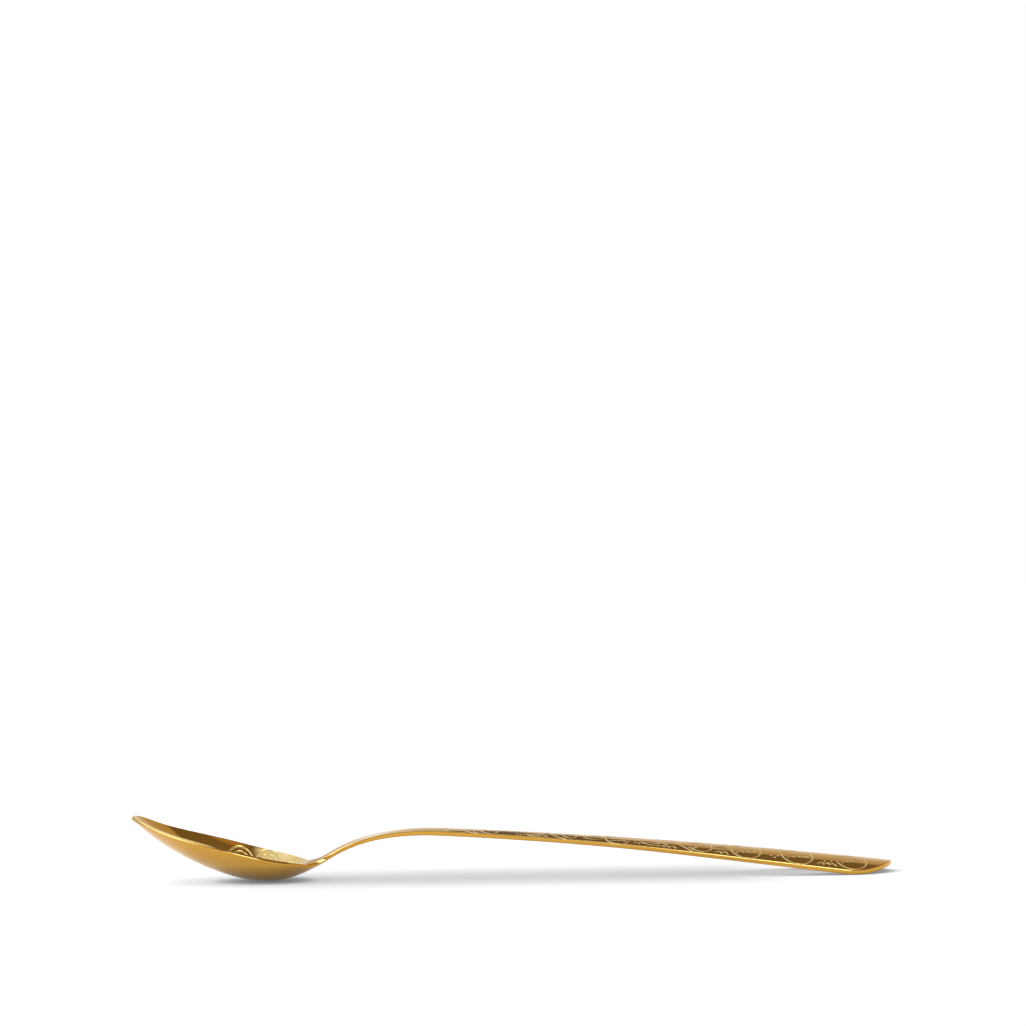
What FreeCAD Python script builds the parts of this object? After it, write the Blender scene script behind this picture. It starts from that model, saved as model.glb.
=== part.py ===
"""Souvenir spoon stamped from one gold-coated steel blank, modelled in its four zones.

+X runs along the spoon to the end of the handle, +Z is up, and the origin is on the table
under the middle of the spoon. The belly of the bowl and the two edges of the arched handle
end touch the table at z = 0. The keel is the underside line in the plane of symmetry: two
chains of tangent arcs, which start where the belly touches the table. The outline is the
spoon's half outline seen from above: one chain of tangent arcs from the tip of the bowl to
the end of the handle. Every zone is a thin arched band swept along its stretch of the keel
and trimmed to the outline.
"""
import FreeCAD, Part
import math
import os

import Sketcher
from FreeCAD import Vector

DRIVING_SIZES = {
    # keel, from the table contact to the tip of the bowl
    "contact_x": -63.2,
    "belly_front_radius": 36.5,
    "belly_front_sweep": 17.4,
    "fore_radius": 65.5,
    "fore_sweep": 28.95,
    # keel, from the table contact to the end of the handle
    "belly_rear_radius": 15.0,
    "belly_rear_sweep": 14.8,
    "heel_radius": 40.4,
    "heel_sweep": 17.1,
    "shoulder_radius": 44.0,
    "shoulder_sweep": 22.9,
    "crown_radius": 56.5,
    "crown_sweep": 9.0,
    "nape_radius": 56.5,
    "nape_sweep": 3.01,
    "stem_radius": 1800.0,
    "stem_sweep": 1.85,
    "blade_radius": 1800.0,
    "blade_sweep": 2.15,
    # sheet thickness, and the radius of the arch across the spoon's upper face
    "bowl_gauge": 1.0,
    "handle_gauge": 1.22,
    "bowl_hollow_radius": 18.6,
    "handle_arch_radius": 20.0,
    # half widths of the bands before they are trimmed
    "bowl_blank": 17.0,
    "neck_blank": 7.0,
    "handle_blank": 12.0,
    "blank_reach": 120.0,
    # half outline
    "tip_x": -100.0,
    "nose_radius": 9.1,
    "nose_sweep": 55.8,
    "side_radius": 41.7,
    "side_sweep": 46.6,
    "haunch_radius": 16.4,
    "haunch_sweep": 41.5,
    "throat_radius": 8.1,
    "throat_sweep": 53.9,
    "flare_radius": 1015.0,
    "flare_sweep": 4.9,
    "taper_radius": 825.0,
    "taper_sweep": 3.4,
    "end_x": 100.0,
    "corner_radius": 13.1,
    "corner_sweep": 72.0,
    "end_radius": 5.0,
    "end_sweep": 19.5,
    # radius of the polished edges
    "edge_radius": 0.3,
}

LEFT, RIGHT = 1, -1
KEEL_FRONT = [("belly_front", RIGHT), ("fore", RIGHT)]
KEEL_REAR = [
    ("belly_rear", LEFT),
    ("heel", LEFT),
    ("shoulder", RIGHT),
    ("crown", RIGHT),
    ("nape", RIGHT),
    ("stem", RIGHT),
    ("blade", RIGHT),
]
OUTLINE = [
    ("nose", RIGHT),
    ("side", RIGHT),
    ("haunch", RIGHT),
    ("throat", LEFT),
    ("flare", LEFT),
    ("taper", RIGHT),
    ("corner", RIGHT),
    ("end", RIGHT),
]
CONCAVE, CONVEX = 1, -1
START, END, CENTRE = 1, 2, 3
ORIGIN, X_AXIS, Y_AXIS = (-1, 1), -1, -2

doc = FreeCAD.newDocument("souvenir_spoon")
sheet = doc.addObject("Spreadsheet::Sheet", "sizes")
for row, (alias, value) in enumerate(DRIVING_SIZES.items(), start=1):
    sheet.set(f"A{row}", alias)
    sheet.set(f"B{row}", str(value))
    sheet.setAlias(f"B{row}", alias)
doc.recompute()


def size(alias):
    """Value of a driving size, in millimetres or degrees."""
    return float(sheet.get(alias))


def origin_plane(body, role):
    """One of the body's own origin planes."""
    return next(plane for plane in body.Origin.OriginFeatures if plane.Role == role)


def new_sketch(body, name, role):
    """Sketch attached to one of the body's origin planes."""
    sketch = body.newObject("Sketcher::SketchObject", name)
    sketch.AttachmentSupport = [(origin_plane(body, role), "")]
    sketch.MapMode = "FlatFace"
    return sketch


def bind(sketch, constraint, expression):
    """Add a dimension and bind it to an expression on the sheet."""
    index = sketch.addConstraint(constraint)
    sketch.setExpression(f"Constraints[{index}]", expression)
    return index


def keel_place(steps):
    """Expressions for the x, z and heading that a stretch of the rear keel ends at."""
    heading, x, z = "0", "sizes.contact_x", "0"
    for name, turn in steps:
        ahead = f"{heading} + {turn} * sizes.{name}_sweep"
        x += f" + {turn} * sizes.{name}_radius * (sin({ahead}) - sin({heading}))"
        z += f" + {turn} * sizes.{name}_radius * (cos({heading}) - cos({ahead}))"
        heading = ahead
    return x, z, heading


def draw_chain(sketch, start, heading, steps, mirror=1, real=None):
    """Draw tangent arcs from start and bind each radius and sweep to the sheet.

    Heading is in degrees, and mirror = -1 swaps left and right turns. Arcs whose name isn't
    in real are construction lines. Returns (arc, first point, last point) for each step.
    """
    arcs = []
    point, angle = Vector(*start, 0), math.radians(heading)
    for name, turn in steps:
        turn *= mirror
        radius = size(f"{name}_radius")
        sweep = math.radians(size(f"{name}_sweep"))
        centre = point + Vector(-math.sin(angle), math.cos(angle), 0) * (turn * radius)
        entry = math.atan2(point.y - centre.y, point.x - centre.x)
        leave = entry + turn * sweep
        circle = Part.Circle(centre, Vector(0, 0, 1), radius)
        arc = sketch.addGeometry(
            Part.ArcOfCircle(circle, min(entry, leave), max(entry, leave)),
            real is not None and name not in real,
        )
        arcs.append((arc, START, END) if turn == LEFT else (arc, END, START))
        point = centre + Vector(math.cos(leave), math.sin(leave), 0) * radius
        angle += turn * sweep
    for (arc, _, last), (following, first, _) in zip(arcs, arcs[1:]):
        sketch.addConstraint(Sketcher.Constraint("Tangent", arc, last, following, first))
    for (arc, _, _), (name, _) in zip(arcs, steps):
        radius = Sketcher.Constraint("Radius", arc, size(f"{name}_radius"))
        bind(sketch, radius, f"sizes.{name}_radius")
    return arcs


def bind_sweeps(sketch, arcs, steps):
    """Bind the swept angle of each arc to the sheet."""
    for (arc, _, _), (name, _) in zip(arcs, steps):
        sweep = Sketcher.Constraint("Angle", arc, math.radians(size(f"{name}_sweep")))
        bind(sketch, sweep, f"sizes.{name}_sweep * 1 deg")


def keel_sketch(body, name, steps, real, backwards=False):
    """The keel in the plane of symmetry, from the table contact; only real arcs are swept."""
    sketch = new_sketch(body, name, "XZ_Plane")
    heading = 180 if backwards else 0
    arcs = draw_chain(sketch, (size("contact_x"), 0), heading, steps, real=real)
    bind_sweeps(sketch, arcs, steps)
    arc, first, _ = arcs[0]
    contact = Sketcher.Constraint("DistanceX", *ORIGIN, arc, first, size("contact_x"))
    bind(sketch, contact, "sizes.contact_x")
    sketch.addConstraint(Sketcher.Constraint("PointOnObject", arc, first, X_AXIS))
    sketch.addConstraint(Sketcher.Constraint("Vertical", arc, first, arc, CENTRE))
    return sketch


def arched_section(body, name, place, bend, radius, gauge, half_width):
    """Band of one thickness across the spoon, square to the keel at place.

    The band's underside touches the keel. bend says whether its upper face is hollow
    (CONCAVE) or crowned (CONVEX), and radius is the radius of that upper face.
    """
    x, z, heading = place
    sketch = new_sketch(body, name, "YZ_Plane")
    sketch.setExpression("AttachmentOffset.Base.z", x)
    sketch.setExpression("AttachmentOffset.Base.y", z)
    sketch.AttachmentOffset = FreeCAD.Placement(
        Vector(), FreeCAD.Rotation(Vector(1, 0, 0), -1)
    )
    sketch.setExpression("AttachmentOffset.Rotation.Angle", f"-({heading}) * 1 deg")
    upper = size(radius)
    lower = upper + bend * size(gauge)
    reach = size(half_width)
    centre = Vector(0, bend * lower, 0)
    middle = -bend * math.pi / 2
    corners = []
    for arc_radius in (lower, upper):
        spread = math.asin(reach / arc_radius)
        circle = Part.Circle(centre, Vector(0, 0, 1), arc_radius)
        arc = sketch.addGeometry(Part.ArcOfCircle(circle, middle - spread, middle + spread))
        ends = (START, END) if bend == CONCAVE else (END, START)
        corners.append([(arc, end) for end in ends])
    for (low, low_end), (high, high_end) in zip(*corners):
        points = [sketch.getPoint(low, low_end), sketch.getPoint(high, high_end)]
        line = sketch.addGeometry(Part.LineSegment(*points))
        sketch.addConstraint(Sketcher.Constraint("Coincident", line, START, low, low_end))
        sketch.addConstraint(Sketcher.Constraint("Coincident", line, END, high, high_end))
        sketch.addConstraint(Sketcher.Constraint("Vertical", line))
    low, high = corners[0][0][0], corners[1][0][0]
    left, right = corners[0]
    sketch.addConstraint(Sketcher.Constraint("Coincident", low, CENTRE, high, CENTRE))
    sketch.addConstraint(Sketcher.Constraint("PointOnObject", low, CENTRE, Y_AXIS))
    sketch.addConstraint(Sketcher.Constraint("Symmetric", *left, *right, Y_AXIS))
    lower_size = f"sizes.{radius} + {bend} * sizes.{gauge}"
    bind(sketch, Sketcher.Constraint("Radius", low, lower), lower_size)
    bind(sketch, Sketcher.Constraint("Radius", high, upper), f"sizes.{radius}")
    height = Sketcher.Constraint("DistanceY", *ORIGIN, low, CENTRE, bend * lower)
    bind(sketch, height, f"{bend} * ({lower_size})")
    width = Sketcher.Constraint("DistanceX", *left, *right, 2 * reach)
    bind(sketch, width, f"2 * sizes.{half_width}")
    return sketch


def sweep(body, name, section, keel, last_section=None):
    """Sweep a section along the keel, blending into last_section if there is one."""
    pipe = body.newObject("PartDesign::AdditivePipe", name)
    pipe.Profile = section
    pipe.Spine = (keel, [f"Edge{index}" for index in range(1, real_edges(keel) + 1)])
    if last_section:
        pipe.Transformation = "Multisection"
        pipe.Sections = [last_section]
    doc.recompute()
    return pipe


def real_edges(sketch):
    """Number of edges that a sketch shows outside itself."""
    doc.recompute()
    return len(sketch.Shape.Edges)


def trim_to_outline(body, side):
    """Cut away what lies outside the outline on one side of the plane of symmetry."""
    sketch = new_sketch(body, "outside_left" if side > 0 else "outside_right", "XY_Plane")
    arcs = draw_chain(sketch, (size("tip_x"), 0), side * 90, OUTLINE, mirror=side)
    free_sweeps = 3
    bind_sweeps(sketch, arcs[:-free_sweeps], OUTLINE[:-free_sweeps])
    nose, nose_first, _ = arcs[0]
    end, _, end_last = arcs[-1]
    for arc, place, alias in ((nose, nose_first, "tip_x"), (end, end_last, "end_x")):
        sketch.addConstraint(Sketcher.Constraint("PointOnObject", arc, CENTRE, X_AXIS))
        sketch.addConstraint(Sketcher.Constraint("PointOnObject", arc, place, X_AXIS))
        reach = Sketcher.Constraint("DistanceX", *ORIGIN, arc, place, size(alias))
        bind(sketch, reach, f"sizes.{alias}")
    far = size("blank_reach")
    corners = [
        Vector(size("end_x"), 0, 0),
        Vector(far, 0, 0),
        Vector(far, side * far, 0),
        Vector(-far, side * far, 0),
        Vector(-far, 0, 0),
        Vector(size("tip_x"), 0, 0),
    ]
    lines = [
        sketch.addGeometry(Part.LineSegment(*pair)) for pair in zip(corners, corners[1:])
    ]
    for line, following in zip(lines, lines[1:]):
        sketch.addConstraint(Sketcher.Constraint("Coincident", line, END, following, START))
    for line, level in zip(lines, ("Horizontal", "Vertical") * len(lines)):
        sketch.addConstraint(Sketcher.Constraint(level, line))
    joins = ((lines[0], START, end, end_last), (lines[-1], END, nose, nose_first))
    for join in joins:
        sketch.addConstraint(Sketcher.Constraint("Coincident", *join))
    corner = (lines[1], END)
    across = Sketcher.Constraint("DistanceY", *ORIGIN, *corner, side * far)
    bind(sketch, across, f"{side} * sizes.blank_reach")
    bind(sketch, Sketcher.Constraint("DistanceX", *ORIGIN, *corner, far), "sizes.blank_reach")
    opposite = (lines[3], START)
    back = Sketcher.Constraint("DistanceX", *ORIGIN, *opposite, -far)
    bind(sketch, back, "-sizes.blank_reach")

    before = body.Shape.Volume
    cut = body.newObject("PartDesign::Pocket", "trim_left" if side > 0 else "trim_right")
    cut.Profile = sketch
    cut.Type = "ThroughAll"
    cut.SideType = "Symmetric"
    doc.recompute()
    assert body.Shape.Volume < before, "the outline cut nothing"


def round_edges(body):
    """Round the long edges between the outline's walls and the two broad faces."""
    trimmed = body.Tip
    shape = trimmed.Shape
    names = []
    for index, edge in enumerate(shape.Edges, start=1):
        faces = shape.ancestorsOfType(edge, Part.Face)
        walls = [face for face in faces if is_wall(face)]
        flats = [face for face in faces if isinstance(face.Surface, Part.Plane)]
        if len(walls) == 1 and not flats:
            names.append(f"Edge{index}")
    fillet = body.newObject("PartDesign::Fillet", "polished_edges")
    fillet.Base = (trimmed, names)
    fillet.setExpression("Radius", "sizes.edge_radius")
    doc.recompute()


def is_wall(face):
    """True for a wall that stands on the outline."""
    surface = face.Surface
    return isinstance(surface, Part.Cylinder) and abs(surface.Axis.z) > 0.999


def finish(body):
    """Trim a swept zone to the outline on both sides and round its edges."""
    for side in (1, -1):
        trim_to_outline(body, side)
    round_edges(body)


def new_body(name):
    body = doc.addObject("PartDesign::Body", name)
    body.Label = name
    return body


BOWL_BAND = (CONCAVE, "bowl_hollow_radius", "bowl_gauge")
HANDLE_BAND = (CONVEX, "handle_arch_radius", "handle_gauge")
CONTACT = keel_place([])
THROAT = keel_place(KEEL_REAR[:2])
CREST = keel_place(KEEL_REAR[:4])
GRIP = keel_place(KEEL_REAR[:6])


def make_bowl():
    """Bowl: the band is swept both ways from where the belly touches the table."""
    body = new_body("bowl")
    fore_keel = keel_sketch(body, "fore_keel", KEEL_FRONT, ["belly_front", "fore"], True)
    section = arched_section(body, "fore_section", CONTACT, *BOWL_BAND, "bowl_blank")
    sweep(body, "fore_bowl", section, fore_keel)
    heel_keel = keel_sketch(body, "heel_keel", KEEL_REAR[:2], ["belly_rear", "heel"])
    section = arched_section(body, "heel_section", CONTACT, *BOWL_BAND, "bowl_blank")
    sweep(body, "heel_bowl", section, heel_keel)
    finish(body)
    return body


def make_neck():
    """Neck: the hollow of the bowl turns through flat into the arch of the handle."""
    body = new_body("neck")
    keel = keel_sketch(body, "neck_keel", KEEL_REAR[:4], ["shoulder", "crown"])
    hollow = arched_section(body, "hollow_section", THROAT, *BOWL_BAND, "neck_blank")
    arch = arched_section(body, "arch_section", CREST, *HANDLE_BAND, "neck_blank")
    sweep(body, "neck_blank", hollow, keel, arch)
    finish(body)
    return body


def make_handle_zone(name, place, steps, real):
    """A stretch of the handle: the same arched band all the way."""
    body = new_body(name)
    keel = keel_sketch(body, f"{name}_keel", steps, real)
    arch = arched_section(body, f"{name}_section", place, *HANDLE_BAND, "handle_blank")
    sweep(body, f"{name}_blank", arch, keel)
    finish(body)
    return body


bodies = [
    make_bowl(),
    make_neck(),
    make_handle_zone("stem", CREST, KEEL_REAR[:6], ["nape", "stem"]),
    make_handle_zone("handle_end", GRIP, KEEL_REAR, ["blade"]),
]

doc.recompute()
for item in doc.Objects:
    broken = {"Invalid", "Error"} & set(item.State)
    assert not broken, f"{item.Label}: {item.State}"

os.makedirs("parts", exist_ok=True)
for body in bodies:
    shape = body.Shape
    assert not shape.isNull() and shape.isValid(), body.Label
    assert len(shape.Solids) == 1, f"{body.Label} is in {len(shape.Solids)} pieces"
    box = shape.optimalBoundingBox()
    print(
        f"{body.Label}: {shape.Volume:.1f} mm3, x {box.XMin:.2f} to {box.XMax:.2f},"
        f" y {box.YMin:.2f} to {box.YMax:.2f}, z {box.ZMin:.3f} to {box.ZMax:.3f}"
    )
    shape.exportStep(f"parts/{body.Label}.step")
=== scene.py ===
"""Gold-coated souvenir spoon on a pale studio table.

The spoon is one thin sheet. Its keel is the underside line in the plane of symmetry, a chain
of tangent arcs whose bends are eased a little. Across the keel the sheet is an arched band,
hollow side up in the bowl and crown side up in the handle. Its outline, seen from above, is
another chain of arcs. The upper face is cut by fine engraved strokes that are real geometry,
and the rim is rounded all round. Lengths here are in millimetres until a mesh is made.
"""

import math

import bpy
import numpy as np
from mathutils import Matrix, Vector
from mathutils.geometry import delaunay_2d_cdt
from mathutils.kdtree import KDTree


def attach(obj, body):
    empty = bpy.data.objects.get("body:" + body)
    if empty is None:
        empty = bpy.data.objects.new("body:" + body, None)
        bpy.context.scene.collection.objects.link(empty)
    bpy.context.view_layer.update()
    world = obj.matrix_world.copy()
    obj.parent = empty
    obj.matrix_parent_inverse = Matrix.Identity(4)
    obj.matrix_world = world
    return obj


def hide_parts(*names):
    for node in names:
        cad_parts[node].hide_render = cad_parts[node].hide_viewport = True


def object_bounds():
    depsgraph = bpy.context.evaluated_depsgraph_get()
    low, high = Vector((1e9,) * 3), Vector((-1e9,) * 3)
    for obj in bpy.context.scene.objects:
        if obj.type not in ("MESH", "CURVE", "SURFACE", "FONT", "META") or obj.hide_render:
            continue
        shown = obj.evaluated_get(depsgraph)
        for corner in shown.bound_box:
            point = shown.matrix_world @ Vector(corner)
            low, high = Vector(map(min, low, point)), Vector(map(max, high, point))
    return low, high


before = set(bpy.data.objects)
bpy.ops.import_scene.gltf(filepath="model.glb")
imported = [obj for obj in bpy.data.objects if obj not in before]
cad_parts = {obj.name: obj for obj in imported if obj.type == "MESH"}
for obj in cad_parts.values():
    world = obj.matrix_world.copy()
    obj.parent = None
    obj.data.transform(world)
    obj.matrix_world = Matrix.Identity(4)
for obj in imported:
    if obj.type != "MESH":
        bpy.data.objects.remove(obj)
cad_low, cad_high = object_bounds()

METRE = 1000.0
LEFT, RIGHT = 1, -1
CENTRE_X = (cad_low.x + cad_high.x) / 2 * METRE
TABLE_Z = cad_low.z * METRE

# keel: (radius, sweep in degrees, turn as it is followed towards the handle)
KEEL_FRONT = [(36.5, 17.4, LEFT), (65.5, 28.95, LEFT)]
KEEL_REAR = [
    (15.0, 14.8, LEFT),
    (40.4, 17.1, LEFT),
    (44.0, 22.9, RIGHT),
    (56.5, 9.0, RIGHT),
    (56.5, 3.01, RIGHT),
    (1800.0, 1.85, RIGHT),
    (1800.0, 2.15, RIGHT),
]
CONTACT_X = -63.2
KEEL_STEP = 0.05
BEND_EASE = 2.2
SPARE = 4.0
# half outline from the tip of the bowl to the end of the handle
TIP_X = -100.0
OUTLINE = [
    (9.1, 55.8, RIGHT),
    (41.7, 46.6, RIGHT),
    (16.4, 41.5, RIGHT),
    (8.1, 53.9, LEFT),
    (1015.0, 4.9, LEFT),
    (825.0, 3.313, RIGHT),
    (13.1, 72.83, RIGHT),
    (5.0, 18.757, RIGHT),
]
# sheet: thickness and signed curvature across, of the underside and of the upper face
BOWL_SHEET = (1.0, 1 / 18.7, 1 / 17.7)
HANDLE_SHEET = (1.22, -1 / 18.78, -1 / 20.0)
# stations between which the bowl's arch tightens towards its heel, and its factors there
HEEL_SPAN = (-22.0, 4.0)
FORE_DEPTH, HEEL_DEPTH = 0.965, 1.03
# how square the cut edge is to the sheet: 1 is square to it, 0 is upright
BOWL_LEAN, HANDLE_LEAN = 1.0, 0.5
EDGE_ROUND = 0.32
ROUND_STEPS = 6
WALL_STEPS = 3
# engraving: half widths of a stroke and a dot, and of their flat floors, and one depth
STROKE_HALF, STROKE_FLAT = 0.28, 0.13
DOT_HALF, DOT_FLAT = 0.42, 0.16
STROKE_DEPTH = 0.1
TRACE_STEP = 0.05
# meshing: points beside a stroke as shares of its half width, beside a dot likewise, and how
# far apart they are along the stroke; then the pitch of the upper face, rim and underside
RAILS = (0.0, 0.45, 0.62, 0.78, 1.0, 1.25)
DOT_RAILS = (0.33, 0.66, 1.0, 1.4)
STROKE_STEP = 0.15
COARSE, FINE, UNDER = 0.9, 0.24, 1.6
# how near a point of the pattern may come to another, or to the rim, and the coarse grid to it
RAIL_GAP, RIM_GAP, PATTERN_GAP = 0.045, 0.06, 0.5


def chain_knots(steps):
    """Distances and headings, in radians, at the ends of a chain of arcs."""
    sweeps = [turn * math.radians(sweep) for _, sweep, turn in steps]
    lengths = [math.radians(sweep) * radius for radius, sweep, _ in steps]
    sweeps.append(steps[-1][2] * SPARE / steps[-1][0])
    return np.cumsum([*lengths, SPARE]), np.cumsum(sweeps)


def keel_table():
    """Columns of station, x, z, heading and bend along the keel; station 0 is the contact."""
    front, front_heading = chain_knots(KEEL_FRONT)
    rear, rear_heading = chain_knots(KEEL_REAR)
    knots = np.concatenate([-front[::-1], [0], rear])
    headings = np.concatenate([-front_heading[::-1], [0], rear_heading])
    station = np.arange(knots[0], knots[-1], KEEL_STEP)
    reach = int(BEND_EASE / KEEL_STEP)
    window = np.ones(2 * reach + 1) / (2 * reach + 1)
    heading = np.interp(station, knots, headings)
    heading = np.pad(heading, reach, mode="reflect", reflect_type="odd")
    heading = np.convolve(heading, window, "valid")
    x = running_sum(np.cos(heading), station) + CONTACT_X
    z = running_sum(np.sin(heading), station)
    lowest = z[abs(station) < SPARE].min()
    return station, x, z - lowest + TABLE_Z, heading, np.gradient(heading, KEEL_STEP)


def running_sum(values, station):
    """Integral of values along the keel, zero at station 0."""
    middles = (values[1:] + values[:-1]) / 2
    total = np.concatenate([[0], np.cumsum(middles) * KEEL_STEP])
    return total - np.interp(0, station, total)


def arc_length(steps):
    """Length of a chain of arcs."""
    return sum(math.radians(sweep) * radius for radius, sweep, _ in steps)


THROAT, CREST, GRIP = (arc_length(KEEL_REAR[:count]) for count in (2, 4, 6))
STATION, KEEL_X, KEEL_Z, HEADING, BEND = keel_table()


def smooth_ramp(station, first, last):
    """0 up to the first station, 1 from the last, and a smooth rise between."""
    ramp = np.clip((station - first) / (last - first), 0, 1)
    return ramp * ramp * (3 - 2 * ramp)


def handle_share(station):
    """0 in the bowl, 1 in the handle, and a smooth ramp over the neck."""
    return smooth_ramp(station, THROAT, CREST)


def depth_factor(station):
    """How much tighter the arch across the spoon gets from the fore of the bowl to its heel."""
    deeper = FORE_DEPTH + (HEEL_DEPTH - FORE_DEPTH) * smooth_ramp(station, *HEEL_SPAN)
    return deeper + (1 - deeper) * handle_share(station)


def sheet_lift(station, y, upper):
    """Height of the underside or the upper face over the keel."""
    share = handle_share(station)
    gauge, under, over = (
        bowl + (handle - bowl) * share for bowl, handle in zip(BOWL_SHEET, HANDLE_SHEET)
    )
    curve = (over if upper else under) * depth_factor(station)
    arch = curve * y * y / (1 + np.sqrt(np.maximum(1 - (curve * y) ** 2, 1e-4)))
    return arch + (gauge if upper else 0)


def place(station, y, upper):
    """Points of a face and its upward normals."""
    heading, bend, x, z = (
        np.interp(station, STATION, column) for column in (HEADING, BEND, KEEL_X, KEEL_Z)
    )
    lift = sheet_lift(station, y, upper)
    step = KEEL_STEP
    along = (
        sheet_lift(station + step, y, upper) - sheet_lift(station - step, y, upper)
    ) / (2 * step)
    across = (
        sheet_lift(station, y + step, upper) - sheet_lift(station, y - step, upper)
    ) / (2 * step)
    stretch = 1 - bend * lift
    sine, cosine = np.sin(heading), np.cos(heading)
    points = np.stack([x - sine * lift, y, z + cosine * lift], axis=-1)
    normals = np.stack(
        [
            -stretch * sine - along * cosine,
            -stretch * across,
            stretch * cosine - along * sine,
        ],
        axis=-1,
    )
    return points, unit(normals)


def unit(vectors):
    """Vectors scaled to length 1."""
    return vectors / np.maximum(np.linalg.norm(vectors, axis=-1, keepdims=True), 1e-9)


def station_at(x, y, upper):
    """Station whose cross-section passes through a point seen from above."""
    station = np.interp(x, KEEL_X, STATION)
    for _ in range(8):
        points, _ = place(station, y, upper)
        heading = np.interp(station, STATION, HEADING)
        station = station + (x - points[..., 0]) * np.cos(heading)
    return station


def face_at(x, y, upper):
    """Points and normals of a face from places seen from above."""
    return place(station_at(x, y, upper), y, upper)


def outline(distance):
    """Points of the half outline, seen from above, and its outward directions."""
    points, outward = np.zeros((len(distance), 2)), np.zeros((len(distance), 2))
    start, angle, x, y = 0.0, math.pi / 2, TIP_X, 0.0
    for index, (radius, sweep, turn) in enumerate(OUTLINE):
        length = math.radians(sweep) * radius
        last = index == len(OUTLINE) - 1
        on_arc = (distance >= start) & ((distance < start + length) | last)
        ahead = angle + turn * (distance[on_arc] - start) / radius
        points[on_arc, 0] = x + turn * radius * (np.sin(ahead) - math.sin(angle))
        points[on_arc, 1] = y + turn * radius * (math.cos(angle) - np.cos(ahead))
        outward[on_arc] = np.stack([-np.sin(ahead), np.cos(ahead)], axis=-1)
        end = angle + turn * math.radians(sweep)
        x += turn * radius * (math.sin(end) - math.sin(angle))
        y += turn * radius * (math.cos(angle) - math.cos(end))
        start, angle = start + length, end
    return points, outward


# engraved strokes, as lines drawn on the upper face seen from above


def ring(x, y, radius, start=0.0, sweep=360.0):
    """Circle or part of one."""
    count = max(8, int(math.radians(abs(sweep)) * radius / TRACE_STEP))
    angle = np.radians(start + np.linspace(0, sweep, count))
    return np.stack([x + radius * np.cos(angle), y + radius * np.sin(angle)], axis=-1)


def bow(first, last, sag):
    """Parabola from first to last that bulges to its left by sag."""
    first, last = np.array(first, float), np.array(last, float)
    along = last - first
    length = np.linalg.norm(along)
    across = np.array([-along[1], along[0]]) / length
    t = np.linspace(0, 1, max(6, int(length / TRACE_STEP * 1.1)))[:, None]
    return first + along * t + across * sag * 4 * t * (1 - t)


def turned(x, y, angle):
    """Function that puts a motif's own coordinates at x, y, turned by angle in degrees."""
    cosine, sine = math.cos(math.radians(angle)), math.sin(math.radians(angle))

    def put(along, across):
        return (x + along * cosine - across * sine, y + along * sine + across * cosine)

    return put


def leaf(x, y, length, width, angle, vein=0.62):
    """Almond leaf from its stalk at x, y, with a vein."""
    put = turned(x, y, angle)
    tip = put(length, 0)
    return [
        bow((x, y), tip, width / 2),
        bow((x, y), tip, -width / 2),
        bow(put(length * 0.12, 0), put(length * vein, 0), width * 0.05),
    ]


def scallops(x, y, count, pitch, angle):
    """Row of small arcs side by side."""
    put = turned(x, y, angle)
    return [
        bow(put(index * pitch, 0), put((index + 1) * pitch, 0), pitch * 0.38)
        for index in range(count)
    ]


def rosette(x, y, petals, reach, radii):
    """Open flower of double-lined round petals about a small ring."""
    strokes = [ring(x, y, reach * 0.3)]
    for index in range(petals):
        angle = 90 + 360 / petals * (index + 0.5)
        centre = turned(x, y, angle)(reach, 0)
        strokes += [ring(*centre, radius, angle - 115, 230) for radius in radii]
    return strokes


def half_width(x):
    """Half width of the spoon at x."""
    return np.interp(x, OUTLINE_DENSE[:, 0], OUTLINE_DENSE[:, 1])


# pattern along the handle: x of each motif, then its size and, in degrees, where a ring starts
# or how a leaf turns; a bow's lean is how far its other end is along the handle
LARGE_RINGS = [
    (27.4, 3.0, 40),
    (49.2, 2.9, 200),
    (61.0, 3.9, 115),
    (74.4, 4.1, 95),
    (88.6, 4.0, 200),
]
SMALL_RINGS = [(-17.0, 1.5), (-6.0, 1.9), (15.0, 1.7)]
LEAVES = [(3.2, 6.0, 12), (18.6, 6.2, -8), (33.4, 7.0, 6), (52.4, 5.0, -20)]
BOWS = [(-14.5, 5.0), (9.2, 4.4), (42.2, 4.6)]
EDGE_SCALLOPS = [(37.9, 3), (52.9, 2), (79.6, 3)]
CREST_SCALLOPS = [(-1.5, 3), (23.0, 3), (66.0, 3)]
DOT_TRIOS = (-10.2, 1.0, 14.2, 32.0, 46.0, 67.4, 81.4)
# how far the pattern of the far half is moved along the handle, and its dots
FAR_SHIFT, FAR_DOT_SHIFT = -5.5, 6.2


def handle_strokes(side):
    """Open rings, leaves, bows and scallops along one half of the handle."""
    shift = 0.0 if side < 0 else FAR_SHIFT

    def at(x, share):
        return x + shift, side * share * half_width(x + shift)

    strokes = []
    for x, radius, start in LARGE_RINGS:
        centre = at(x, 0.57)
        strokes.append(ring(*centre, radius, start, 300))
        row = (centre[0] - radius * 0.6, centre[1] + side * radius * 0.35)
        strokes += scallops(*row, 3, radius * 0.42, start / 8)
    for x, length, angle in LEAVES:
        strokes += leaf(*at(x, 0.62), length, length * 0.4, side * angle)
    for x, lean in BOWS:
        strokes.append(bow(at(x, 0.03), at(x + lean, 0.97), 0.8 * side))
    for x, radius in SMALL_RINGS:
        strokes.append(ring(*at(x, 0.5), radius, 70, 300))
    for x, count in EDGE_SCALLOPS:
        strokes += scallops(*at(x, 0.86), count, 1.5, 2.0 * side)
    for x, count in CREST_SCALLOPS:
        strokes += scallops(*at(x, 0.12), count, 1.6, 3.0 * side)
    return strokes


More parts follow.
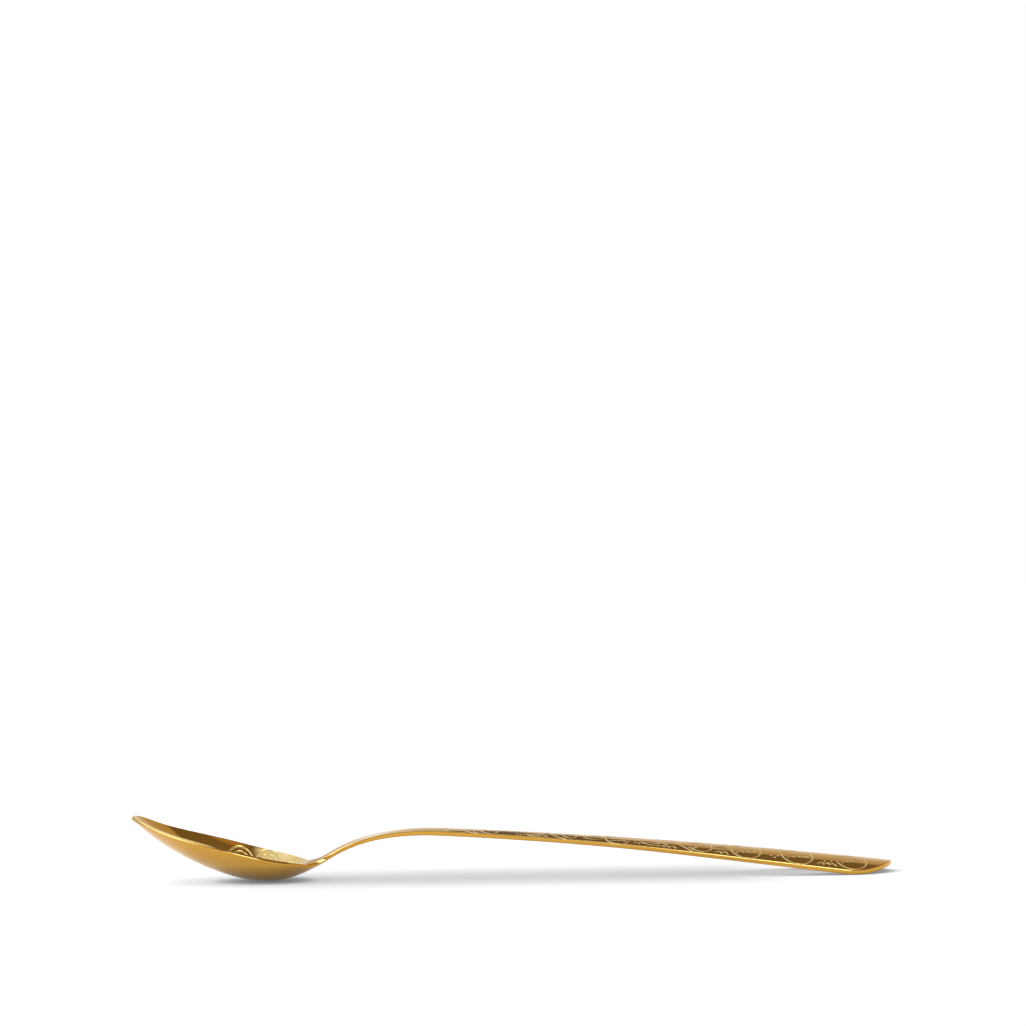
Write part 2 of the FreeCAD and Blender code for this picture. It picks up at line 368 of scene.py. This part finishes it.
def crest_tendril(first, last, wave):
    """Gently waving line that follows the crest of the handle."""
    x = np.arange(first, last, TRACE_STEP)
    return np.stack([x, 0.55 * np.sin((x - first) / wave * 2 * math.pi)], axis=-1)


def dots():
    """Centres of the punched dots on the handle."""
    spots = []
    for x in DOT_TRIOS:
        for step, share in enumerate((0.72, 0.8, 0.7)):
            spots.append((x + 0.9 * step, -share * half_width(x)))
            spots.append((x + FAR_DOT_SHIFT + 0.9 * step, share * half_width(x)))
    return np.array(spots)


OUTLINE_LENGTH = arc_length(OUTLINE)
OUTLINE_DENSE = outline(np.linspace(0, OUTLINE_LENGTH, 4000))[0]
STROKES = [
    *handle_strokes(-1),
    *handle_strokes(1),
    crest_tendril(-20.0, 12.0, 9.0),
    crest_tendril(24.0, 62.0, 9.5),
    *rosette(-68.3, 0.0, 9, 10.3, (3.3, 2.2)),
]
DOTS = dots()


def search_tree(places):
    """Nearest-point search over places seen from above."""
    tree = KDTree(len(places))
    for index, (x, y) in enumerate(places):
        tree.insert((x, y, 0), index)
    tree.balance()
    return tree


STROKE_PLACES = np.concatenate(STROKES)
STROKE_WAYS = np.concatenate([unit(np.gradient(line, axis=0)) for line in STROKES])
STROKE_TREE, DOT_TREE = search_tree(STROKE_PLACES), search_tree(DOTS)


def stroke_gap(x, y):
    """Distance from x, y to the nearest stroke, and the direction away from it."""
    _, index, reach = STROKE_TREE.find((x, y, 0))
    if reach > STROKE_HALF * 2:
        return reach, (0.0, 0.0)
    way_x, way_y = STROKE_WAYS[index]
    off_x, off_y = x - STROKE_PLACES[index][0], y - STROKE_PLACES[index][1]
    along = max(-TRACE_STEP, min(TRACE_STEP, off_x * way_x + off_y * way_y))
    off_x, off_y = off_x - along * way_x, off_y - along * way_y
    gap = math.hypot(off_x, off_y)
    if gap < 1e-6:
        return 0.0, (0.0, 0.0)
    return gap, (off_x / gap, off_y / gap)


def cut(points):
    """Depth of the engraving under each point, and the slope of that depth."""
    depth, slope = np.zeros(len(points)), np.zeros((len(points), 3))
    for index, (x, y, _) in enumerate(points):
        gap, away = stroke_gap(x, y)
        half, flat = STROKE_HALF, STROKE_FLAT
        if gap >= half:
            centre, _, gap = DOT_TREE.find((x, y, 0))
            half, flat = DOT_HALF, DOT_FLAT
            if gap >= half:
                continue
            away = ((x - centre.x) / max(gap, 1e-6), (y - centre.y) / max(gap, 1e-6))
        phase = math.pi * max(gap - flat, 0) / (half - flat)
        depth[index] = STROKE_DEPTH * (1 + math.cos(phase)) / 2
        steep = -STROKE_DEPTH * math.pi / (half - flat) * math.sin(phase) / 2
        slope[index, :2] = steep * away[0], steep * away[1]
    return depth, slope


def engraved(points, normals):
    """The face's points and normals with the strokes cut in, and how deep each point is."""
    depth, slope = cut(points)
    slope -= np.sum(slope * normals, axis=-1, keepdims=True) * normals
    return points - depth[:, None] * normals, unit(normals + slope), depth / STROKE_DEPTH


# rim: columns round the whole outline, each running over the edge from face to face


def rim_distances(side):
    """Distances along the half outline: close together where a stroke meets the rim."""
    close = np.arange(0, OUTLINE_LENGTH, FINE / 3)
    points, outward = outline(close)
    points = points - outward * EDGE_ROUND
    points[:, 1] *= side
    keep = [
        index % 3 == 0 or stroke_gap(x, y)[0] < STROKE_HALF * 1.5
        for index, (x, y) in enumerate(points)
    ]
    return close[keep]


def joint_distance(station):
    """Distance along the half outline where its cross-section at that station meets it."""
    distance = np.linspace(20, OUTLINE_LENGTH - 20, 6000)
    points, _ = outline(distance)
    upper = handle_share(station) > 0.5
    return np.interp(station, station_at(points[:, 0], points[:, 1], upper), distance)


def rim_columns(distance, side):
    """Grid of points, columns by rows, over the rounded edge on one side, before engraving."""
    points, outward = outline(distance)
    share = handle_share(station_at(points[:, 0], points[:, 1], False))[:, None]
    _, sheet = face_at(points[:, 0], points[:, 1], False)
    gauge = BOWL_SHEET[0] + (HANDLE_SHEET[0] - BOWL_SHEET[0]) * share
    lean = BOWL_LEAN + (HANDLE_LEAN - BOWL_LEAN) * share
    shift = lean * gauge * sheet[:, :2]
    corners, insets = [], []
    for upper, plan in ((True, points + shift * (1 - share)), (False, points - shift * share)):
        corner, normal = face_at(plan[:, 0], plan[:, 1], upper)
        fall = np.sum(normal[:, :2] * outward, axis=-1, keepdims=True)
        level = normal[:, 2:] / np.sqrt(normal[:, 2:] ** 2 + fall**2)
        inset = plan - outward * EDGE_ROUND * level
        inset[:, 1] = np.maximum(inset[:, 1], 0)
        corners.append(corner)
        insets.append(face_at(inset[:, 0], inset[:, 1], upper)[0])
    down = unit(corners[1] - corners[0]) * EDGE_ROUND
    high, low = corners[0] + down, corners[1] - down
    rows = []
    for t in np.linspace(0, 1, ROUND_STEPS + 1):
        rows.append(insets[0] * (1 - t) ** 2 + corners[0] * 2 * t * (1 - t) + high * t * t)
    for t in np.linspace(0, 1, WALL_STEPS + 1)[1:-1]:
        rows.append(high + (low - high) * t)
    for t in np.linspace(0, 1, ROUND_STEPS + 1):
        rows.append(low * (1 - t) ** 2 + corners[1] * 2 * t * (1 - t) + insets[1] * t * t)
    grid = np.stack(rows, axis=1)
    grid[..., 1] *= side
    return grid


def face_normals(points, upper):
    """Upward normals of a face at points on it."""
    return face_at(points[:, 0], points[:, 1], upper)[1]


def make_rim():
    """Points, normals and masks of the whole rim, and the columns where the zones meet."""
    joints = [float(joint_distance(station)) for station in (THROAT, CREST, GRIP)]
    grids, marks = [], []
    for side in (1, -1):
        distance = rim_distances(side)
        for joint in [*joints, OUTLINE_LENGTH]:
            distance = distance[abs(distance - joint) > FINE / 6]
        distance = np.sort(np.concatenate([distance, joints, [OUTLINE_LENGTH]]))
        columns = [int(np.searchsorted(distance, joint)) for joint in joints]
        grid = rim_columns(distance, side)
        if side < 0:
            grid = grid[::-1][1:-1]
            columns = [len(distance) - 1 - column - 1 for column in columns]
        grids.append(grid)
        marks.append(columns)
    first = len(grids[0])
    grid = np.concatenate(grids)
    places = list(zip(marks[0], (first + column for column in marks[1])))
    depths = np.zeros(grid.shape[:2])
    inner = face_normals(grid[:, 0], True)
    for row in range(ROUND_STEPS + 1):
        fade = math.cos(math.pi / 2 * row / ROUND_STEPS) ** 2
        cut_points, _, depth = engraved(grid[:, row], inner)
        grid[:, row] += (cut_points - grid[:, row]) * fade
        depths[:, row] = depth * fade
    ahead = np.roll(grid, -1, axis=0) - np.roll(grid, 1, axis=0)
    normals = unit(np.cross(ahead, np.gradient(grid, axis=1)))
    normals[:, 0] = engraved(grid[:, 0], inner)[1]
    normals[:, -1] = -face_normals(grid[:, -1], False)
    return grid, normals, depths, places


RIM, RIM_NORMALS, RIM_DEPTHS, JOINTS = make_rim()
ROWS = RIM.shape[1]


class Shell:
    """Vertices, normals, masks and faces of one piece while it is put together."""

    def __init__(self):
        self.points, self.normals, self.depths, self.rims, self.faces = [], [], [], [], []

    def add(self, points, normals, depths=None, rim=0.0):
        """Add vertices and return their numbers."""
        first = len(self.points)
        self.points += [tuple(point) for point in points]
        self.normals += [tuple(normal) for normal in normals]
        self.depths += list(np.zeros(len(points)) if depths is None else depths)
        self.rims += list(np.full(len(points), rim) if np.isscalar(rim) else rim)
        return list(range(first, len(self.points)))


def cross_row(shell, first, last, upper):
    """Vertices across a face at a joint, between two rim columns, which aren't included."""
    row = 0 if upper else ROWS - 1
    a, b = RIM[first, row], RIM[last, row]
    y = np.linspace(a[1], b[1], 2 * int(abs(b[1] - a[1]) / 0.2) + 1)[1:-1]
    station = station_at(np.full(1, a[0]), np.full(1, a[1]), upper)[0]
    points, normals = place(np.full(len(y), station), y, upper)
    if not upper:
        return shell.add(points, -normals)
    return shell.add(*engraved(points, normals))


def hex_points(low, high, pitch):
    """Points of a triangular grid over a box."""
    points = []
    for row, y in enumerate(np.arange(low[1], high[1], pitch * 0.866)):
        points += [(x, y) for x in np.arange(low[0] + pitch / 2 * (row % 2), high[0], pitch)]
    return points


def rail_points():
    """Points beside and along every stroke and dot."""
    points = []
    for line in STROKES:
        way = unit(np.gradient(line, axis=0))
        every = int(STROKE_STEP / TRACE_STEP)
        for (x, y), (way_x, way_y) in zip(line[::every], way[::every]):
            for rail in RAILS:
                for side in (1, -1) if rail else (1,):
                    off = rail * STROKE_HALF * side
                    points.append((x - way_y * off, y + way_x * off))
    for x, y in DOTS:
        points.append((x, y))
        for share in DOT_RAILS:
            points += [tuple(spot) for spot in ring(x, y, DOT_HALF * share)[::6]]
    return points


def thinned(points, gap):
    """The points without those closer than gap to one already kept."""
    cells, kept = {}, []
    for x, y in points:
        column, row = int(x // gap), int(y // gap)
        near = (
            spot
            for i in (-1, 0, 1)
            for j in (-1, 0, 1)
            for spot in cells.get((column + i, row + j), ())
        )
        if any((x - spot[0]) ** 2 + (y - spot[1]) ** 2 < gap * gap for spot in near):
            continue
        cells.setdefault((column, row), []).append((x, y))
        kept.append((x, y))
    return kept


RAIL_POINTS = rail_points()


def inside(candidates, loop, clearance):
    """Candidates inside a closed loop and at least clearance from its points."""
    tree = search_tree(loop)
    corners = np.array(loop)
    nexts = np.roll(corners, -1, axis=0)
    spots = np.array(candidates)
    low, high = corners.min(axis=0), corners.max(axis=0)
    spots = spots[np.all((spots > low) & (spots < high), axis=1)]
    odd = np.zeros(len(spots), bool)
    for (ax, ay), (bx, by) in zip(corners, nexts):
        if ay == by:
            continue
        crossing = (ay > spots[:, 1]) != (by > spots[:, 1])
        odd ^= crossing & (spots[:, 0] < ax + (spots[:, 1] - ay) * (bx - ax) / (by - ay))
    return [(x, y) for x, y in spots[odd] if tree.find((x, y, 0))[2] > clearance]


def fill_face(shell, loop, upper):
    """Triangulate a face inside its loop of vertices, through the strokes' points."""
    edge = [shell.points[index][:2] for index in loop]
    corners = np.array(edge)
    low, high = corners.min(axis=0), corners.max(axis=0)
    pitch = COARSE if upper else UNDER
    inner = inside(hex_points(low, high, pitch), edge, pitch * 0.45)
    if upper:
        rails = thinned(inside(RAIL_POINTS, edge, RIM_GAP), RAIL_GAP)
        inner = rails + [spot for spot in inner if stroke_gap(*spot)[0] > PATTERN_GAP]
    spots = np.array(inner)
    points, normals = face_at(spots[:, 0], spots[:, 1], upper)
    if upper:
        added = shell.add(*engraved(points, normals))
    else:
        added = shell.add(points, -normals)
    numbers = loop + added
    flat = [Vector(spot) for spot in edge + inner]
    ring_edges = [(index, (index + 1) % len(loop)) for index in range(len(loop))]
    _, _, triangles, origins, _, _ = delaunay_2d_cdt(flat, ring_edges, [], 1, 1e-7)
    for triangle in triangles:
        corner = [numbers[origins[index][0]] for index in triangle]
        shell.faces.append(corner if upper else corner[::-1])


def make_piece(name, spans):
    """Closed mesh of one zone from its spans of rim columns, taken in order round the rim."""
    shell = Shell()
    strips = []
    for first, last in spans:
        count = (last - first) % len(RIM) + 1
        columns = (first + np.arange(count)) % len(RIM)
        rim_mask = np.zeros((count, ROWS))
        rim_mask[:, 1:-1] = 1.0
        numbers = shell.add(
            RIM[columns].reshape(-1, 3),
            RIM_NORMALS[columns].reshape(-1, 3),
            RIM_DEPTHS[columns].ravel(),
            rim_mask.ravel(),
        )
        strips.append(np.array(numbers).reshape(count, ROWS))
        for a, b in zip(strips[-1][:-1], strips[-1][1:]):
            for row in range(ROWS - 1):
                shell.faces.append([a[row], b[row], b[row + 1], a[row + 1]])
    top, bottom = [], []
    for index, strip in enumerate(strips):
        after = (index + 1) % len(strips)
        ends = spans[index][1], spans[after][0]
        over, under = (cross_row(shell, *ends, upper) for upper in (True, False))
        top += [*strip[:, 0], *over]
        bottom += [*strip[:, -1], *under]
        cap = [*strip[-1], *under, *strips[after][0][::-1], *over[::-1]]
        shell.faces.append(cap[::-1])
    fill_face(shell, [int(number) for number in top], True)
    fill_face(shell, [int(number) for number in bottom], False)
    return to_object(name, shell)


def to_object(name, shell):
    """Blender object of a finished shell, in metres."""
    points = (np.array(shell.points) + (CENTRE_X, 0, 0)) / METRE
    faces = [[int(number) for number in face] for face in shell.faces]
    mesh = bpy.data.meshes.new(name)
    mesh.from_pydata([tuple(point) for point in points], [], faces)
    for title, values in (("engraved", shell.depths), ("rim", shell.rims)):
        layer = mesh.attributes.new(title, "FLOAT", "POINT")
        layer.data.foreach_set("value", np.array(values, np.float32))
    mesh.polygons.foreach_set("use_smooth", [True] * len(mesh.polygons))
    mesh.normals_split_custom_set_from_vertices(shell.normals)
    piece = bpy.data.objects.new(name, mesh)
    bpy.context.scene.collection.objects.link(piece)
    return piece


spans = {
    "bowl": [(JOINTS[0][1], JOINTS[0][0])],
    "neck": [(JOINTS[0][0], JOINTS[1][0]), (JOINTS[1][1], JOINTS[0][1])],
    "stem": [(JOINTS[1][0], JOINTS[2][0]), (JOINTS[2][1], JOINTS[1][1])],
    "handle_end": [(JOINTS[2][0], JOINTS[2][1])],
}
zones = {name: make_piece(f"{name}_sheet", columns) for name, columns in spans.items()}


# materials


def fill(tree, node, values):
    """Set or link a node's inputs."""
    for name, value in values.items():
        if isinstance(value, bpy.types.NodeSocket):
            tree.links.new(value, node.inputs[name])
        else:
            node.inputs[name].default_value = value


def add(tree, kind, inputs=None, **settings):
    """New node with its settings, input values and links."""
    node = tree.nodes.new(kind)
    for name, value in settings.items():
        setattr(node, name, value)
    fill(tree, node, inputs or {})
    return node


def calc(tree, operation, *values):
    """Output of a maths node."""
    return add(tree, "ShaderNodeMath", dict(enumerate(values)), operation=operation).outputs[0]


def noise(tree, stretch, scale, detail=4.0, turn=0.0):
    """Output of a noise texture whose grain is stretched along the spoon."""
    place_on = add(tree, "ShaderNodeTexCoord").outputs["Object"]
    mapping = add(
        tree,
        "ShaderNodeMapping",
        {"Vector": place_on, "Scale": stretch, "Rotation": (0, 0, turn)},
    )
    inputs = {"Vector": mapping.outputs[0], "Scale": scale, "Detail": detail}
    return add(tree, "ShaderNodeTexNoise", inputs).outputs["Fac"]


def spread(tree, value, low, high, to_low=0.0, to_high=1.0):
    """Value moved from one range to another, and held to it."""
    inputs = {0: value, 1: low, 2: high, 3: to_low, 4: to_high}
    return add(tree, "ShaderNodeMapRange", inputs).outputs[0]


def within(tree, axes, sides, share):
    """Share kept between sides, each an axis and the two places it rises from 0 to 1 between."""
    for axis, nothing, everything in sides:
        share = calc(tree, "MULTIPLY", share, spread(tree, axes[axis], nothing, everything))
    return share


def blend_colour(tree, share, first, second):
    """Colour between two colours."""
    inputs = {0: share, 6: first, 7: second}
    return add(tree, "ShaderNodeMix", inputs, data_type="RGBA").outputs[2]


def new_material(name):
    """New material, its node tree and its shader."""
    material = bpy.data.materials.new(name)
    material.use_nodes = True
    tree = material.node_tree
    return material, tree, tree.nodes["Principled BSDF"]


def gold_material():
    """Bright gold plate: hairlines along the spoon, faint wear, and matt engraved strokes."""
    material, tree, shader = new_material("gold_plate")
    groove = add(tree, "ShaderNodeAttribute", attribute_name="engraved").outputs["Fac"]
    rim = add(tree, "ShaderNodeAttribute", attribute_name="rim").outputs["Fac"]
    patches = noise(tree, (1, 1, 1), 38.0)
    hairlines = noise(tree, (30, 1400, 1400), 1.0, 6.0)
    rubbed = noise(tree, (160, 900, 900), 1.0, 3.0, 0.5)
    scratches = spread(tree, rubbed, 0.66, 0.74)
    tone = blend_colour(tree, patches, GOLD_DEEP, GOLD_BRIGHT)
    tone = blend_colour(tree, calc(tree, "MULTIPLY", groove, 0.9), tone, GOLD_STROKE)
    roughness = spread(tree, patches, 0.3, 0.7, 0.045, 0.07)
    roughness = calc(tree, "ADD", roughness, calc(tree, "MULTIPLY", scratches, 0.05))
    roughness = calc(tree, "ADD", roughness, spread(tree, hairlines, 0.35, 0.65, -0.01, 0.02))
    roughness = calc(tree, "ADD", roughness, calc(tree, "MULTIPLY", groove, 0.34))
    roughness = calc(tree, "ADD", roughness, calc(tree, "MULTIPLY", rim, 0.02))
    height = calc(tree, "ADD", hairlines, calc(tree, "MULTIPLY", rubbed, 0.6))
    relief = {"Strength": 0.12, "Distance": SCRATCH_DEPTH, "Height": height}
    bump = add(tree, "ShaderNodeBump", relief).outputs[0]
    values = {"Base Color": tone, "Metallic": 1.0, "Roughness": roughness, "Normal": bump}
    fill(tree, shader, values)
    return material


def floor_material():
    """Pale matt table that glows a little of its own, with a painted contact shadow: the glow is
    dimmed where something is close above.
    """
    material, tree, shader = new_material("pale_table")
    grain = spread(tree, noise(tree, (1, 1, 1), 240.0), 0.3, 0.7)
    tone = blend_colour(tree, grain, (0.66, 0.66, 0.67, 1), (0.68, 0.68, 0.69, 1))
    values = {"Base Color": tone, "Roughness": 0.85, "Specular IOR Level": 0.1}
    # painted contact shadow: ambient occlusion dims the table's glow under and beside the spoon
    contact = add(tree, "ShaderNodeAmbientOcclusion", {"Distance": PAINTED_SHADOW_REACH})
    lift = spread(tree, contact.outputs["AO"], 0.0, 1.0, *TABLE_GLOW_AND_PAINTED_SHADOW)
    values |= {"Emission Color": (1, 1, 1, 1), "Emission Strength": lift}
    fill(tree, shader, values)
    return material


def glow_material(name, strength):
    """Even white light."""
    material, tree, shader = new_material(name)
    tree.nodes.remove(shader)
    light = add(tree, "ShaderNodeEmission", {"Color": (1, 1, 1, 1), "Strength": strength})
    tree.links.new(light.outputs[0], tree.nodes["Material Output"].inputs[0])
    return material


# the table's own glow where it is closed in (a painted contact shadow) and in the open, and how
# near counts as closed in
TABLE_GLOW_AND_PAINTED_SHADOW, PAINTED_SHADOW_REACH = (0.15, 0.57), 0.0035
SCRATCH_DEPTH = 0.000004

GOLD_BRIGHT = (0.66, 0.36, 0.064, 1)
GOLD_DEEP = (0.62, 0.325, 0.052, 1)
GOLD_STROKE = (0.83, 0.51, 0.11, 1)

gold = gold_material()
for name, piece in zones.items():
    piece.data.materials.append(gold)
    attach(piece, "root")
    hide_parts(name)


# studio


def stage_mesh(name, points, faces, material):
    """Piece of the studio, which isn't part of the spoon."""
    mesh = bpy.data.meshes.new(name)
    mesh.from_pydata(points, [], faces)
    mesh.materials.append(material)
    item = bpy.data.objects.new(name, mesh)
    bpy.context.scene.collection.objects.link(item)
    return item


def level_card(name, centre, size, material):
    """Level rectangle."""
    x, y, z = centre
    corners = [
        (x + side_x * size[0] / 2, y + side_y * size[1] / 2, z)
        for side_x, side_y in ((-1, -1), (1, -1), (1, 1), (-1, 1))
    ]
    return stage_mesh(name, corners, [(0, 1, 2, 3)], material)


def add_wall(radius, height, sides=64):
    """Round white wall that only the camera sees, with a white ceiling."""
    angles = [2 * math.pi * index / sides for index in range(sides)]
    feet = [(radius * math.cos(a), radius * math.sin(a), -height) for a in angles]
    tops = [(x, y, height) for x, y, _ in feet]
    faces = [
        (index, (index + 1) % sides, (index + 1) % sides + sides, index + sides)
        for index in range(sides)
    ]
    faces.append(tuple(range(sides, 2 * sides)))
    wall = stage_mesh("white_wall", feet + tops, faces, glow_material("white_wall", 1.0))
    wall.visible_diffuse = wall.visible_glossy = wall.visible_shadow = False


def add_flag(centre, size):
    """Unseen card over the handle: its soft shade falls on the table."""
    flag = level_card("flag", centre, size, glow_material("flag_black", 0.0))
    flag.visible_camera = flag.visible_glossy = False


def add_light(name, kind, place_at, aim, energy, size, reflected, ratio=1.0):
    """Light aimed at a point, seen in reflections or not."""
    lamp = bpy.data.lights.new(name, kind)
    lamp.energy = energy
    if kind == "SUN":
        lamp.angle = size
    else:
        lamp.shape, lamp.size, lamp.size_y = "RECTANGLE", size, size * ratio
    lamp.color = CARD_COLOUR if reflected else (1, 1, 1)
    light = bpy.data.objects.new(name, lamp)
    light.location = place_at
    light.rotation_euler = (Vector(aim) - Vector(place_at)).to_track_quat("-Z", "Y").to_euler()
    light.visible_glossy = reflected
    light.visible_diffuse = not reflected
    bpy.context.scene.collection.objects.link(light)


def add_surroundings():
    """What the metal mirrors: a white band low down, a dim room over it and a cool card."""
    world = bpy.data.worlds.new("studio")
    world.use_nodes = True
    tree = world.node_tree
    toward = add(tree, "ShaderNodeTexCoord").outputs["Generated"]
    axes = add(tree, "ShaderNodeSeparateXYZ", {0: toward}).outputs
    ramp = add(tree, "ShaderNodeValToRGB", {0: axes[2]})
    ramp.color_ramp.interpolation = "B_SPLINE"
    stops = ramp.color_ramp.elements
    stops[0].position, stops[1].position = SKY[0][0], SKY[-1][0]
    for place_at, _ in SKY[1:-1]:
        stops.new(place_at)
    for stop, (_, colour) in zip(stops, SKY):
        stop.color = (*colour, 1)
    rising = calc(tree, "MULTIPLY_ADD", axes[0], BAND_TILT, BAND_TOP)
    left = spread(tree, axes[0], 0.055, 0.035, 0.0, BAND_CAPS[0])
    right = spread(tree, axes[0], 0.3, 0.5, *BAND_CAPS)
    edge = calc(tree, "MINIMUM", calc(tree, "MAXIMUM", rising, left), right)
    above = spread(tree, calc(tree, "SUBTRACT", axes[2], edge), 0.0, 0.03)
    overhead = blend_colour(tree, spread(tree, axes[2], 0.5, 1.0), DIM_LOW, DIM_HIGH)
    light = blend_colour(tree, above, ramp.outputs[0], overhead)
    light = blend_colour(tree, within(tree, axes, WARM_SIDES, above), light, WARM)
    slant = calc(tree, "MULTIPLY_ADD", axes[1], 0.6, axes[0])
    card = within(tree, axes, CARD_SIDES, spread(tree, slant, 0.52, 0.44))
    tint = blend_colour(tree, spread(tree, axes[0], 0.0, -0.3), CARD_NEAR, CARD_FAR)
    tint = blend_colour(tree, spread(tree, axes[1], 0.1, 0.4), tint, CARD_NEAR)
    light = blend_colour(tree, card, light, tint)
    tree.links.new(light, tree.nodes["Background"].inputs["Color"])
    world.cycles_visibility.diffuse = False
    bpy.context.scene.world = world


# colours of the low white band against the sine of the elevation
SKY = [
    (0.0, (0.97, 0.95, 0.88)),
    (0.17, (0.97, 0.94, 0.84)),
    (0.35, (0.80, 0.76, 0.63)),
    (0.60, (0.62, 0.55, 0.41)),
    (1.0, (0.62, 0.55, 0.41)),
]
# its top edge: where it starts, how steeply it rises along x, and where that stops
BAND_TOP, BAND_TILT, BAND_CAPS = 0.03, 3.7, (0.66, 0.73)
# the dim room over it, a warm patch in it, and a cool card, brighter towards one end; each is
# held between sides, given as an axis and the places where it is nothing and everything
DIM_LOW, DIM_HIGH = (0.20, 0.17, 0.14, 1), (0.27, 0.23, 0.19, 1)
WARM = (0.55, 0.42, 0.28, 1)
WARM_SIDES = [(1, -0.07, -0.14), (0, 0.5, 0.4), (0, 0.16, 0.22)]
CARD_NEAR, CARD_FAR = (1.1, 1.5, 3.2, 1), (1.35, 2.0, 5.5, 1)
CARD_SIDES = [(0, 0.12, 0.06), (0, -0.75, -0.6), (1, -0.35, -0.2), (2, 0.45, 0.6)]
# the two lamps in front of the spoon: middle and width, at one distance and height
FRONT_CARDS = {"front_card": (0.25, 0.36), "side_card": (-0.74, 0.54)}
CARD_COLOUR = (0.35, 0.48, 1.0)
CARD_POWER = 36.0
SUN_POWER, SUN_WIDTH = 3.3, math.radians(72)

add_surroundings()
level_card("table", (0.0, 0.0, cad_low.z), (8.0, 8.0), floor_material())
add_wall(3.6, 2.5)
add_light("key", "SUN", (-1.2, 0.0, 1.2), (0, 0, 0), SUN_POWER, SUN_WIDTH, False)
for name, (x, width) in FRONT_CARDS.items():
    power = CARD_POWER * width
    add_light(name, "AREA", (x, -0.83, 0.80), (x, 0, 0), power, width, True, 1 / width)
add_flag((-0.014, 0.0, cad_low.z + 0.024), (0.132, 0.036))

scene = bpy.context.scene
scene.view_settings.view_transform = "Standard"
scene.cycles.caustics_reflective = False

# camera, level and low, facing the side of the spoon; both angles in radians
YAW, ROLL = -0.0333, 0.01321
camera_data = bpy.data.cameras.new("camera")
camera_data.sensor_width, camera_data.lens = 36.0, 128.0
camera_data.clip_start, camera_data.clip_end = 0.05, 20.0
camera = bpy.data.objects.new("camera", camera_data)
camera.location = (-0.03065, -0.95951, cad_low.z + 0.0957)
camera.rotation_euler = (math.pi / 2, ROLL, YAW)
scene.collection.objects.link(camera)
scene.camera = camera
